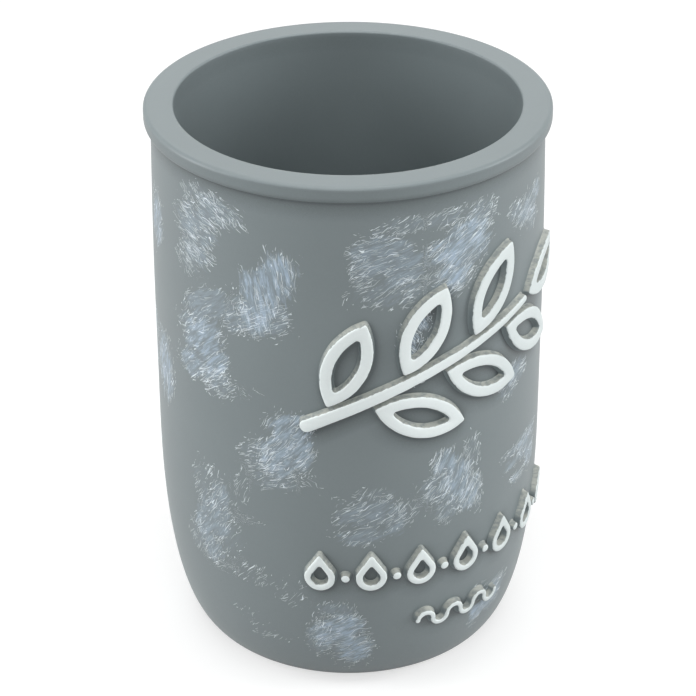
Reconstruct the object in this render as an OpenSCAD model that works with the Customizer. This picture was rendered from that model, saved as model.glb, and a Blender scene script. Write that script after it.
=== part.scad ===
// Bathroom tumbler: a barrel-shaped cast cup with a rolled rim, raised ornament and a foam base pad.
// Millimetres, +Z up, origin in the middle of the pad's underside, ornament facing -Y.

/* [Cup] */
// Height of the whole tumbler, from the pad's underside to the rim
overall_h = 110; // [100:1:125]
// Outer diameter of the rim
rim_d = 75.5; // [74:0.5:86]
// Width of the rim's top, from its outer edge to the mouth
rim_w = 5.6; // [4.5:0.1:8]
// Height of the rim band
rim_band_h = 3.3; // [2.8:0.1:5]
// How far the rim stands out from the wall just below it
rim_overhang = 1.3; // [1:0.1:1.6]
// Rounding of the rim's outer top edge
rim_top_round = 0.8; // [0.4:0.1:1.2]
// Rounding of the rim's inner edge
mouth_round = 0.4; // [0.3:0.1:1.5]
// How much the belly swells past the neck, on each side
belly_swell = 0.54; // [0.2:0.02:0.8]
// Height of the widest part of the wall
belly_h = 64; // [55:1:70]
// Height of the round lower corner
corner_h = 44; // [34:1:48]
// Diameter of the flat foot
foot_d = 54.5; // [53:0.5:60]
// How much the inside narrows from the mouth to the lower corner, on each side
inner_taper = 0.7; // [0.3:0.1:2]
// Thickness of the floor above the foot
floor_t = 6; // [4:0.5:10]

/* [Base pad] */
// Diameter of the foam pad
pad_d = 48; // [36:1:50]
// Thickness of the foam pad
pad_t = 2; // [1.5:0.1:3]
// How far the pad stands out below the foot
pad_proud = 0.5; // [0.3:0.1:1]
// Gap all round the pad in its recess
pad_clearance = 0.3; // [0.1:0.1:0.6]

/* [Ornament] */
// How far the ornament stands out from the wall
relief_h = 1.2; // [0.8:0.1:1.5]

/* [Sprig] */
// Direction of the stem at its lower end, in degrees above level
sprig_rise = 28; // [20:1:32]
// Radius of the stem's bend
sprig_bend_r = 190; // [150:10:400]
// Number of leaves along the stem
side_leaves = 6; // [4:1:7]
// Length of a leaf
leaf_len = 18.5; // [14:0.5:20]
// Width of a leaf
leaf_w = 8.6; // [7:0.1:9]
// Width of the line that draws a leaf
leaf_line_w = 2.4; // [1.6:0.1:2.6]
// Gap between neighbouring leaves
leaf_gap = 1.2; // [1:0.1:2]
// Angle between a leaf and the stem
leaf_spread = 42; // [38:1:48]
// Gap between a leaf and the stem
leaf_seat_gap = 0.7; // [0.4:0.1:1.2]
// Length of bare stem before the first leaf
bare_stem = 6.5; // [5:0.5:10]
// Width of the stem at its lower end
stem_w = 2.8; // [2:0.1:3.2]
// Width of the stem at its tip
stem_tip_w = 1.6; // [1:0.1:2]

/* [Row of drops] */
// Number of drops
drops = 7; // [3:1:7]
// Height of a drop
drop_h = 8.5; // [7.5:0.5:11]
// Width of a drop
drop_w = 6; // [5:0.1:6.2]
// Width of the line that draws a drop
drop_line_w = 1.5; // [1:0.1:1.8]
// Height of the bottom of the drops
drop_row_h = 26; // [24:1:30]
// Diameter of the beads between the drops
bead_d = 1.8; // [1.4:0.1:2.4]
// Gap between a bead and a drop
bead_gap = 0.9; // [0.6:0.1:1.2]

/* [Wave] */
// Number of bends in the wave
wave_bends = 6; // [3:1:8]
// Radius of a bend, to the middle of its line
wave_r = 1.6; // [1.4:0.1:2.2]
// Width of the wave's line
wave_line_w = 1.2; // [0.9:0.1:1.4]
// Gap between the wave and the row of drops above it
wave_gap = 7; // [5:0.5:8]

/* [Hidden] */
$fn = 120;
// How far a cutting solid runs past what it cuts
overrun = 1;
// Steps in the wall's curve, the lower corner and each rim rounding
wall_steps = 8;
corner_steps = 14;
round_steps = 6;
// Roundness of the lower corner: 2 is an ellipse, more is squarer
corner_power = 2.2;
// Where the sprig's middle lies between the drops and the rim
sprig_mid_share = 0.56;
// Steps along the stem, and round a drop
stem_steps = 24;
drop_steps = 24;

rim_r = rim_d / 2;
mouth_r = rim_r - rim_w;
neck_r = rim_r - rim_overhang;
belly_r = neck_r + belly_swell;
foot_r = foot_d / 2;
inner_r = mouth_r - inner_taper;
foot_z = pad_proud;
floor_z = foot_z + floor_t;
corner_z = foot_z + corner_h;
rim_under_z = overall_h - rim_band_h;
foot_inset = belly_r - foot_r;
recess_r = pad_d / 2 + pad_clearance;
relief_r = belly_r + relief_h;
degrees_per_mm = 180 / (PI * belly_r);

leaf_pitch = (leaf_w + leaf_gap) / sin(leaf_spread);
stem_len = bare_stem + side_leaves * leaf_pitch / 2;
drop_pitch = drop_w + bead_d + 2 * bead_gap;
drop_top_z = drop_row_h + drop_h;
wave_z = drop_row_h - wave_gap - wave_r - wave_line_w / 2;
sprig_mid_z = drop_top_z + (rim_under_z - drop_top_z) * sprig_mid_share;

cup_grey = [0.46, 0.49, 0.50];
paint_white = [0.93, 0.94, 0.94];
foam_black = [0.14, 0.14, 0.15];

leaf_names = [for (i = [1:side_leaves]) str("leaf_", i)];
drop_names = [for (i = [1:drops]) str("drop_", i)];
bead_names = [for (i = [1:drops - 1]) str("bead_", i)];

// Points of an arc about a centre, from one angle to another
function arc(centre, r, from, to, steps) = [
    for (i = [0:steps])
        let (a = from + (to - from) * i / steps) centre + r * [cos(a), sin(a)]
];

// A round corner of the section, from where it leaves the wall down to where it meets the flat
function corner(top_r, inset, top_z, low_z) = [
    for (i = [0:corner_steps])
        let (a = 90 * i / corner_steps)
            [
                top_r - inset * (1 - pow(cos(a), 2 / corner_power)),
                top_z - (top_z - low_z) * pow(sin(a), 2 / corner_power)
            ]
];

// The outer wall's section from the foot up to the rim's underside
wall_points = concat(
    [for (i = [corner_steps:-1:0]) corner(belly_r, foot_inset, corner_z, foot_z)[i]],
    [
        for (i = [0:wall_steps])
            let (share = i / wall_steps)
                [belly_r - belly_swell * share * share, belly_h + (rim_under_z - belly_h) * share]
    ]
);

// The inside's section from the mouth down to the floor
inside_points = corner(inner_r, foot_inset, corner_z, floor_z);

module cup_section() {
    under_round = min(rim_overhang, rim_band_h - rim_top_round);
    polygon(concat(
        [[0, foot_z]],
        wall_points,
        arc([rim_r - under_round, rim_under_z + under_round], under_round, -90, 0, round_steps),
        arc([rim_r - rim_top_round, overall_h - rim_top_round], rim_top_round, 0, 90, round_steps),
        arc([mouth_r + mouth_round, overall_h - mouth_round], mouth_round, 90, 180, round_steps),
        inside_points,
        [[0, floor_z]]
    ));
}

module cup_body() {
    color(cup_grey)
        difference() {
            rotate_extrude() cup_section();
            translate([0, 0, -overrun]) cylinder(r = recess_r, h = pad_t + overrun);
        }
}

module base_pad() {
    color(foam_black) cylinder(d = pad_d, h = pad_t);
}

// The layer on the wall that all of the ornament is cut from
module relief_layer() {
    rotate_extrude()
        polygon(concat(
            wall_points,
            [for (i = [len(wall_points) - 1:-1:0]) wall_points[i] + [relief_h, 0]]
        ));
}

// Stands a flat outline on the wall: across is measured round the belly, and up from the table
module on_wall(across, up, turn = 0) {
    color(paint_white)
        intersection() {
            relief_layer();
            rotate([0, 0, across * degrees_per_mm])
                translate([0, -foot_r, up])
                    rotate([90, turn, 0])
                        linear_extrude(relief_r + overrun - foot_r) children();
        }
}

// A place on the stem's arc, and the stem's direction and width there
function stem_dir(along) = sprig_rise - along / sprig_bend_r * 180 / PI;
function arc_place(along) =
    sprig_bend_r * [
        sin(sprig_rise) - sin(stem_dir(along)), cos(stem_dir(along)) - cos(sprig_rise)
    ];
function stem_place(along) = arc_place(along) - arc_place(sprig_len / 2) + [0, sprig_mid_z];
function stem_half_w(along) = (stem_w + (stem_tip_w - stem_w) * along / stem_len) / 2;
function heading(angle) = [cos(angle), sin(angle)];
sprig_len = stem_len + leaf_seat_gap + leaf_len;

// A point on the unrolled wall, brought to a given radius
function wrapped(place, r) =
    let (a = place.x * degrees_per_mm) [r * sin(a), -r * cos(a), place.y];

// The stem runs too far round the wall for one flat outline, so its sides follow the wall
module sprig_stem() {
    ring = [
        for (i = [0:stem_steps])
            let (
                along = stem_len * i / stem_steps,
                side = stem_half_w(along) * heading(stem_dir(along) + 90),
                left = stem_place(along) + side,
                right = stem_place(along) - side
            )
                [
                    wrapped(left, foot_r), wrapped(right, foot_r),
                    wrapped(right, relief_r + overrun), wrapped(left, relief_r + overrun)
                ]
    ];
    points = [for (corners = ring) for (corner = corners) corner];
    sides = [
        for (i = [0:stem_steps - 1]) for (j = [0:3])
            let (a = 4 * i + j, b = 4 * i + (j + 1) % 4)
                each [[a, b, b + 4], [a, b + 4, a + 4]]
    ];
    last = 4 * stem_steps;
    ends = [[0, 2, 1], [0, 3, 2], [last, last + 1, last + 2], [last, last + 2, last + 3]];
    color(paint_white)
        intersection() {
            relief_layer();
            polyhedron(points, concat(sides, ends));
        }
}

// Two arcs that meet in points, drawn as a line of even width
module leaf_outline() {
    bow_r = (leaf_len * leaf_len + leaf_w * leaf_w) / (4 * leaf_w);
    bow_x = bow_r - leaf_w / 2;
    difference() {
        bowed(bow_r, bow_x);
        bowed(bow_r - leaf_line_w, bow_x);
    }
}

module bowed(r, x) {
    intersection() {
        translate([0, -x]) circle(r);
        translate([0, x]) circle(r);
    }
}

// One leaf, growing from a place on the unrolled wall
module leaf(base, angle) {
    middle = base + leaf_len / 2 * heading(angle);
    on_wall(middle.x, middle.y, -angle) leaf_outline();
}

module side_leaf(i) {
    along = bare_stem + i * leaf_pitch / 2;
    side = i % 2 == 0 ? 1 : -1;
    seat = stem_half_w(along) + leaf_seat_gap;
    base = stem_place(along) + side * seat * heading(stem_dir(along) + 90);
    leaf(base, stem_dir(along) + side * leaf_spread);
}

module tip_leaf() {
    leaf(stem_place(stem_len + leaf_seat_gap), stem_dir(stem_len));
}

// A water drop's outline: a circle with two tangents that meet above it
function drop_outline(r, tip) =
    let (middle = [0, drop_w / 2], touch = acos(r / (tip - middle.y)))
        concat(arc(middle, r, 90 + touch, 450 - touch, drop_steps), [[0, tip]]);

module drop(i) {
    hollow_r = drop_w / 2 - drop_line_w;
    hollow_tip = drop_w / 2 + hollow_r * (drop_h - drop_w / 2) / (drop_w / 2);
    on_wall((i - (drops - 1) / 2) * drop_pitch, drop_row_h)
        difference() {
            polygon(drop_outline(drop_w / 2, drop_h));
            polygon(drop_outline(hollow_r, hollow_tip));
        }
}

module bead(i) {
    on_wall((i - (drops - 2) / 2) * drop_pitch, drop_row_h + drop_w / 2) circle(d = bead_d);
}

// Half rings, bent up and down in turn, with round ends
module wave_line() {
    outer_r = wave_r + wave_line_w / 2;
    on_wall(0, wave_z)
        union() {
            for (i = [0:wave_bends - 1])
                translate([(2 * i - wave_bends + 1) * wave_r, 0])
                    mirror([0, i % 2])
                        difference() {
                            circle(outer_r);
                            circle(wave_r - wave_line_w / 2);
                            translate([-outer_r, -outer_r]) square([2 * outer_r, outer_r]);
                        }
            for (side = [-1, 1])
                translate([side * wave_bends * wave_r, 0]) circle(d = wave_line_w);
        }
}

cup_body();
base_pad();
sprig_stem();
for (i = [0:side_leaves - 1])
    side_leaf(i);
tip_leaf();
for (i = [0:drops - 1])
    drop(i);
for (i = [0:drops - 2])
    bead(i);
wave_line();
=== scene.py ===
import math
import random

import bmesh
import bpy
from mathutils import Euler, Matrix, Vector, noise


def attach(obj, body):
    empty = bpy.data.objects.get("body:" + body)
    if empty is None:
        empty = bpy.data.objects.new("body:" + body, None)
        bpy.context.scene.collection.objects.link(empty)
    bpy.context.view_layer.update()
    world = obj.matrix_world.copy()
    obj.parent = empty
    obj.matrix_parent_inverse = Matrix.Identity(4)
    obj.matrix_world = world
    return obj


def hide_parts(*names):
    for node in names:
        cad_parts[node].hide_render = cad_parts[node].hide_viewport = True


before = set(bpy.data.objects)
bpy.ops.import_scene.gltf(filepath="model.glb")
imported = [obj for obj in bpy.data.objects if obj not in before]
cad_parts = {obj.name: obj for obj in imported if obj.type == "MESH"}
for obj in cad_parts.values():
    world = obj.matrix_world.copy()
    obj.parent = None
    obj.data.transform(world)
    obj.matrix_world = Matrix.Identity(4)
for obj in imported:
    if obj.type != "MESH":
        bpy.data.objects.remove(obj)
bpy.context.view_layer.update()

mm = 0.001
fullTurn = 2 * math.pi
print("frame loaded:", len(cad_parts), "nodes")


# small helpers for node trees: a value may be a number, a colour or another node's output
def putNode(tree, kind, **settings):
    made = tree.nodes.new(kind)
    for name, value in settings.items():
        setattr(made, name, value)
    return made


def feed(tree, socket, value):
    if isinstance(value, bpy.types.NodeSocket):
        tree.links.new(value, socket)
    else:
        socket.default_value = value


def calc(tree, operation, *values, clamp=False):
    made = putNode(tree, "ShaderNodeMath", operation=operation, use_clamp=clamp)
    for socket, value in zip(made.inputs, values):
        feed(tree, socket, value)
    return made.outputs[0]


def times(tree, first, second):
    return calc(tree, "MULTIPLY", first, second)


def plus(tree, first, second):
    return calc(tree, "ADD", first, second)


def vectorCalc(tree, operation, *values):
    made = putNode(tree, "ShaderNodeVectorMath", operation=operation)
    for socket, value in zip(made.inputs, values):
        feed(tree, socket, value)
    return made.outputs[0]


def fade(tree, value, low, high, bottom=0.0, top=1.0):
    made = putNode(tree, "ShaderNodeMapRange", interpolation_type="SMOOTHSTEP")
    labels = ("Value", "From Min", "From Max", "To Min", "To Max")
    for label, given in zip(labels, (value, low, high, bottom, top)):
        feed(tree, made.inputs[label], given)
    return made.outputs["Result"]


def cloudy(tree, place, scale, detail=2.0, roughness=0.5, distortion=0.0):
    made = putNode(tree, "ShaderNodeTexNoise")
    feed(tree, made.inputs["Vector"], place)
    feed(tree, made.inputs["Scale"], scale)
    feed(tree, made.inputs["Detail"], detail)
    feed(tree, made.inputs["Roughness"], roughness)
    feed(tree, made.inputs["Distortion"], distortion)
    return made.outputs["Fac"]


# noise from 0 to 1, turned into a shift to both sides of 0
def swing(tree, value, reach):
    return times(tree, calc(tree, "SUBTRACT", value, 0.5), reach)


def squared(tree, value):
    return calc(tree, "POWER", calc(tree, "ABSOLUTE", value), 2.0)


def blend(tree, share, first, second):
    made = putNode(tree, "ShaderNodeMix", data_type="RGBA")
    feed(tree, made.inputs["Factor"], share)
    feed(tree, made.inputs["A"], first)
    feed(tree, made.inputs["B"], second)
    return made.outputs["Result"]


def newGroup(name, inputs, outputs):
    group = bpy.data.node_groups.new(name, "ShaderNodeTree")
    for label, kind, value in inputs:
        socket = group.interface.new_socket(label, in_out="INPUT", socket_type="NodeSocket" + kind)
        if value is not None:
            socket.default_value = value
    for label, kind in outputs:
        group.interface.new_socket(label, in_out="OUTPUT", socket_type="NodeSocket" + kind)
    return group, group.nodes.new("NodeGroupInput").outputs, group.nodes.new("NodeGroupOutput").inputs


def useGroup(tree, group, **values):
    made = putNode(tree, "ShaderNodeGroup", node_tree=group)
    for label, value in values.items():
        feed(tree, made.inputs[label], value)
    return made.outputs


def newMaterial(name):
    material = bpy.data.materials.new(name)
    material.use_nodes = True
    tree = material.node_tree
    shader = tree.nodes["Principled BSDF"]
    place = tree.nodes.new("ShaderNodeTexCoord").outputs["Object"]
    return material, tree, shader, place


def addBump(tree, shader, height, depth):
    made = putNode(tree, "ShaderNodeBump")
    made.inputs["Distance"].default_value = depth * mm
    feed(tree, made.inputs["Height"], height)
    tree.links.new(made.outputs["Normal"], shader.inputs["Normal"])


# cast resin's faint clouds of pigment and its fine skin: cells per metre, detail and roughness,
# and each one's share of the bump
grainLook = {"clouds": (70, 3, 0.55), "skin": (1500, 2, 0.6), "cloudHeight": 0.6, "skinHeight": 0.4}


def makeCastGrain():
    inputs = [("Place", "Vector", None), ("Color", "Color", None)]
    inputs += [("Clouds", "Float", 0.06), ("Skin", "Float", 0.03)]
    group, given, result = newGroup("castGrain", inputs, [("Color", "Color"), ("Height", "Float")])
    clouds = cloudy(group, given["Place"], *grainLook["clouds"])
    skin = cloudy(group, given["Place"], *grainLook["skin"])
    shift = plus(group, swing(group, clouds, given["Clouds"]), swing(group, skin, given["Skin"]))
    tone = plus(group, 1.0, shift)
    tinted = putNode(group, "ShaderNodeVectorMath", operation="SCALE")
    feed(group, tinted.inputs[0], given["Color"])
    feed(group, tinted.inputs["Scale"], tone)
    group.links.new(tinted.outputs[0], result["Color"])
    cloudHeight = times(group, clouds, grainLook["cloudHeight"])
    skinHeight = times(group, skin, grainLook["skinHeight"])
    group.links.new(plus(group, cloudHeight, skinHeight), result["Height"])
    return group


# how a dab's paint breaks up. A noise has cells per mm along and across the strokes, detail and roughness,
# a sway has cells per mm and its reach in mm, a range has where it starts and ends, then the values there
brushLook = {
    "ragged": (0.26, 0.42, 4, 0.65),
    "strips": (0.22, 1.5, 3, 0.62),
    "fine": (0.32, 3.0, 2, 0.6),
    "blotches": (0.30, 1.0, 3, 0.65),
    "tufts": (0.45, 0.6, 2, 0.5),
    "filmSway": (0.13, 2.6),
    "filmRagged": 2.2,
    "hairRagged": 1.9,
    "stripReach": 1.6,
    "filmRange": (-0.15, 0.75),
    "fineRange": (0.36, 0.58, 0.4, 1.0),
    "blotchRange": (0.36, 0.60, 0.4, 1.3),
    "tuftRange": (0.40, 0.60, 0.2, 1.25),
    "insideRange": (-0.1, 0.6, 0.0, 0.55),
    "rimRise": (-0.5, 0.15, 0.0, 0.8),
    "rimFall": (0.35, 1.1, 1.0, 0.45),
    "pastRise": (-0.9, -0.1, 0.0, 0.5),
    "pastFall": (0.2, 0.8, 1.0, 0.35),
}

# hairs of paint: straight ones run through the middle of a dab, bent ones gather near its edge and curls
# stray past it. A cell, in mm, holds one hair, and turn, in radians, and bend are the most that it gets
hairSets = {
    "straight": {
        "where": "inside", "cell": (5.2, 0.28), "sway": (0.13, 2.6), "shift": 0.0,
        "turn": 0.04, "bend": 0.01, "halfLong": 2.8, "halfWide": 0.057,
    },
    "swaying": {
        "where": "rim", "cell": (4.4, 0.33), "sway": (0.20, 3.8), "shift": 13.1,
        "turn": 0.06, "bend": 0.02, "halfLong": 2.3, "halfWide": 0.059,
    },
    "bent": {
        "where": "rim", "cell": (2.9, 0.42), "sway": (0.34, 3.0), "shift": 29.7,
        "turn": 0.16, "bend": 0.06, "halfLong": 1.5, "halfWide": 0.063,
    },
    "curled": {
        "where": "past", "cell": (1.4, 0.62), "sway": (0.50, 2.0), "shift": 47.3,
        "turn": 1.10, "bend": 0.60, "halfLong": 0.68, "halfWide": 0.068,
    },
}
# the share of its set's length, width and brightness that every hair has, and the share that chance adds
hairLook = {
    "length": (0.3, 0.7), "width": (0.85, 0.5), "bright": (0.48, 0.75), "edge": (0.45, 1.15, 1.0, 0.0),
    "fadeIn": 0.08, "shadePower": 3.0, "shadeChance": 5.7, "rankChance": 7.3, "shiftLean": 1.7,
}


def joined(group, x, y, z=0.0):
    made = putNode(group, "ShaderNodeCombineXYZ")
    for socket, value in zip(made.inputs, (x, y, z)):
        feed(group, socket, value)
    return made.outputs[0]


# noise drawn out along the strokes
def streaky(group, place, along, across, detail, roughness):
    return cloudy(group, vectorCalc(group, "MULTIPLY", place, (along, across, 1.0)), 1.0, detail, roughness)


# Flow holds mm along and across the strokes and a seed, and the strokes sway a little
def brushPlace(group, given, scale, reach, shift=0.0):
    split = putNode(group, "ShaderNodeSeparateXYZ")
    group.links.new(given["Flow"], split.inputs[0])
    place = vectorCalc(group, "MULTIPLY", given["Flow"], (scale, scale, 1.0))
    place = vectorCalc(group, "ADD", place, (0, 0, shift))
    sway = swing(group, cloudy(group, place, 1.0, 1), reach)
    return split.outputs[0], plus(group, split.outputs[1], sway), split.outputs[2]


# Cover fades from 1 inside a dab to below 0, and noise makes its edge ragged
def raggedCover(group, given, reach):
    patch = streaky(group, given["Flow"], *brushLook["ragged"])
    return plus(group, given["Cover"], swing(group, patch, reach))


# the thin film of paint that a dab leaves, in strips where the bristles part
def makeBrushFilm():
    inputs = [("Flow", "Vector", None), ("Cover", "Float", 0.0), ("Amount", "Float", 1.0)]
    group, given, result = newGroup("brushFilm", inputs, [("Film", "Float")])
    place = joined(group, *brushPlace(group, given, *brushLook["filmSway"]))
    strips = streaky(group, place, *brushLook["strips"])
    fine = streaky(group, place, *brushLook["fine"])
    blotches = streaky(group, given["Flow"], *brushLook["blotches"])
    cover = raggedCover(group, given, brushLook["filmRagged"])
    parted = plus(group, cover, swing(group, strips, brushLook["stripReach"]))
    film = fade(group, parted, *brushLook["filmRange"])
    film = times(group, film, fade(group, fine, *brushLook["fineRange"]))
    film = times(group, film, fade(group, blotches, *brushLook["blotchRange"]))
    group.links.new(times(group, film, given["Amount"]), result["Film"])
    return group


# one set of hairs: each cell of a cell pattern holds one short stroke with its own turn, bend and length
def hairStrokes(group, given, look, kept):
    cell, turn, bend = look["cell"], look["turn"], look["bend"]
    halfLong, halfWide, shift = look["halfLong"], look["halfWide"], look["shift"]
    along, bent = brushPlace(group, given, *look["sway"], shift)[:2]
    spot = joined(group, calc(group, "DIVIDE", along, cell[0]), calc(group, "DIVIDE", bent, cell[1]))
    spot = vectorCalc(group, "ADD", spot, (shift, shift * hairLook["shiftLean"], 0))
    cells = putNode(group, "ShaderNodeTexVoronoi", voronoi_dimensions="2D", feature="F1")
    feed(group, cells.inputs["Vector"], spot)
    cells.inputs["Scale"].default_value = 1.0
    away = vectorCalc(group, "SUBTRACT", spot, cells.outputs["Position"])
    offset = putNode(group, "ShaderNodeSeparateXYZ")
    feed(group, offset.inputs[0], vectorCalc(group, "MULTIPLY", away, (*cell, 0)))
    chance = putNode(group, "ShaderNodeSeparateColor")
    feed(group, chance.inputs[0], cells.outputs["Color"])
    first, second, third = chance.outputs
    # where the point lies ahead of the stroke's middle and beside its bowed line
    angle = calc(group, "MULTIPLY_ADD", first, 2 * turn, -turn)
    cosine = calc(group, "COSINE", angle)
    sine = calc(group, "SINE", angle)
    right, up = offset.outputs[0], offset.outputs[1]
    ahead = plus(group, times(group, right, cosine), times(group, up, sine))
    side = calc(group, "SUBTRACT", times(group, up, cosine), times(group, right, sine))
    bow = calc(group, "MULTIPLY_ADD", second, 2 * bend, -bend)
    bow = times(group, bow, squared(group, ahead))
    beside = calc(group, "ABSOLUTE", plus(group, side, bow))
    # a tapered line, whose width and brightness go together
    least, added = hairLook["length"]
    length = calc(group, "MULTIPLY_ADD", third, halfLong * added, halfLong * least)
    taper = squared(group, calc(group, "DIVIDE", ahead, length))
    shade = calc(group, "FRACT", times(group, first, hairLook["shadeChance"]))
    shade = calc(group, "POWER", shade, hairLook["shadePower"])
    least, added = hairLook["width"]
    wide = calc(group, "MULTIPLY_ADD", shade, halfWide * added, halfWide * least)
    offLine = plus(group, calc(group, "DIVIDE", beside, wide), taper)
    line = fade(group, offLine, *hairLook["edge"])
    # only the first in rank are kept where the paint is thin
    rank = calc(group, "FRACT", times(group, third, hairLook["rankChance"]))
    stays = fade(group, calc(group, "SUBTRACT", kept, rank), 0.0, hairLook["fadeIn"])
    least, added = hairLook["bright"]
    bright = calc(group, "MULTIPLY_ADD", shade, added, least)
    return times(group, times(group, line, stays), bright)


def makeBrushHairs():
    inputs = [("Flow", "Vector", None), ("Cover", "Float", 0.0), ("Amount", "Float", 1.0)]
    group, given, result = newGroup("brushHairs", inputs, [("Hair", "Float")])
    cover = raggedCover(group, given, brushLook["hairRagged"])
    tufts = fade(group, streaky(group, given["Flow"], *brushLook["tufts"]), *brushLook["tuftRange"])
    tufts = times(group, tufts, given["Amount"])
    inside = fade(group, cover, *brushLook["insideRange"])
    rise, fall = fade(group, cover, *brushLook["rimRise"]), fade(group, cover, *brushLook["rimFall"])
    rim = times(group, rise, fall)
    rise, fall = fade(group, cover, *brushLook["pastRise"]), fade(group, cover, *brushLook["pastFall"])
    past = times(group, rise, fall)
    places = {"inside": inside, "rim": rim, "past": past}
    hair = 0.0
    for look in hairSets.values():
        kept = times(group, places[look["where"]], tufts)
        hair = calc(group, "MAXIMUM", hair, hairStrokes(group, given, look, kept))
    group.links.new(hair, result["Hair"])
    return group


castGrain = makeCastGrain()
brushFilm = makeBrushFilm()
brushHairs = makeBrushHairs()
print("shader groups made")


# grey cast resin, with the pale paint that was dabbed on it with a dry brush
resinLook = {
    "resin": (0.198, 0.232, 0.241, 1),
    "film": (0.40, 0.50, 0.61, 1),
    "hair": (0.86, 0.93, 0.97, 1),
    "paintedShadeColor": (0.060, 0.074, 0.078, 1),
    "filmStrength": 0.70,
    "hairStrength": 0.95,
    "paintedShadeStrength": 0.95,
    "paintedShadeReach": 4.0,
    "paintedShadeLean": 0.6,
    "paintedShadeSide": 0.4,
    "paintedShadeRange": (0.58, 0.99, 1.0, 0.0),
    "grain": {"Clouds": 0.10, "Skin": 0.04},
    "grainShare": 0.5,
    "filmShare": 0.4,
    "bump": 0.03,
    "roughness": 0.46,
    "paintRoughness": 0.62,
}


# painted shade: darkening under edges, in the crease under the rim and in hollows, more on the side away
# from the light: 1 in a corner, 0 in the open
def paintedShadeMask(tree):
    normal = putNode(tree, "ShaderNodeTexCoord").outputs["Normal"]
    aside = vectorCalc(tree, "CROSS_PRODUCT", normal, (0, 0, 1))
    side = resinLook["paintedShadeSide"]
    lean = vectorCalc(tree, "MULTIPLY_ADD", aside, (side, side, side), (0, 0, resinLook["paintedShadeLean"]))
    toLight = vectorCalc(tree, "NORMALIZE", vectorCalc(tree, "ADD", normal, lean))
    near = putNode(tree, "ShaderNodeAmbientOcclusion", samples=8)
    near.inputs["Distance"].default_value = resinLook["paintedShadeReach"] * mm
    feed(tree, near.inputs["Normal"], toLight)
    return fade(tree, near.outputs["AO"], *resinLook["paintedShadeRange"])


dabValues = ("Flow", "Cover", "Film", "Hairs")


def makeResin():
    material, tree, shader, place = newMaterial("castResin")
    grain = useGroup(tree, castGrain, Place=place, Color=resinLook["resin"], **resinLook["grain"])
    # painted shade: corners, hollows and the crease under the rim are darkened in the colour itself
    paintedShadeShare = times(tree, paintedShadeMask(tree), resinLook["paintedShadeStrength"])
    color = blend(tree, paintedShadeShare, grain["Color"], resinLook["paintedShadeColor"])
    paint = 0.0
    for layer in ("under", "over"):
        given = {}
        for label in dabValues:
            given[label] = putNode(tree, "ShaderNodeAttribute", attribute_name=layer + label).outputs
        dab = {"Flow": given["Flow"]["Vector"], "Cover": given["Cover"]["Fac"]}
        film = useGroup(tree, brushFilm, Amount=given["Film"]["Fac"], **dab)["Film"]
        film = calc(tree, "MULTIPLY", film, resinLook["filmStrength"], clamp=True)
        hair = useGroup(tree, brushHairs, Amount=given["Hairs"]["Fac"], **dab)["Hair"]
        hair = calc(tree, "MULTIPLY", hair, resinLook["hairStrength"], clamp=True)
        color = blend(tree, film, color, resinLook["film"])
        color = blend(tree, hair, color, resinLook["hair"])
        film = times(tree, film, resinLook["filmShare"])
        paint = calc(tree, "MAXIMUM", paint, calc(tree, "MAXIMUM", hair, film))
    tree.links.new(color, shader.inputs["Base Color"])
    rough = fade(tree, paint, 0.0, 1.0, resinLook["roughness"], resinLook["paintRoughness"])
    tree.links.new(rough, shader.inputs["Roughness"])
    height = plus(tree, times(tree, grain["Height"], resinLook["grainShare"]), paint)
    addBump(tree, shader, height, resinLook["bump"])
    return material


# white paint on the raised faces, resin on their sides
reliefLook = {
    "white": (0.89, 0.95, 0.95, 1),
    "shadedWhite": (0.74, 0.80, 0.80, 1),
    "resin": resinLook["resin"],
    "spillAndTopLight": (0.54, 0.55, 0.50, 1),
    "spillAndTopLightStrength": 0.75,
    "paintRange": (0.80, 0.90),
    "ragged": (1000, 3, 0.6),
    "raggedReach": 0.45,
    "rightShade": (-0.014, 0.012),
    "topLightRange": (0.0, 0.6),
    "streaks": (700, 3, 0.6),
    "streakStretch": (1.0, 1.0, 3.0),
    "streakRange": (0.35, 0.6, 0.4, 1.0),
    "sideGrain": {"Clouds": 0.16, "Skin": 0.08},
    "coatGrain": {"Clouds": 0.06, "Skin": 0.05},
    "roughness": 0.5,
    "shine": 0.2,
    "bump": 0.03,
}


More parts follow.
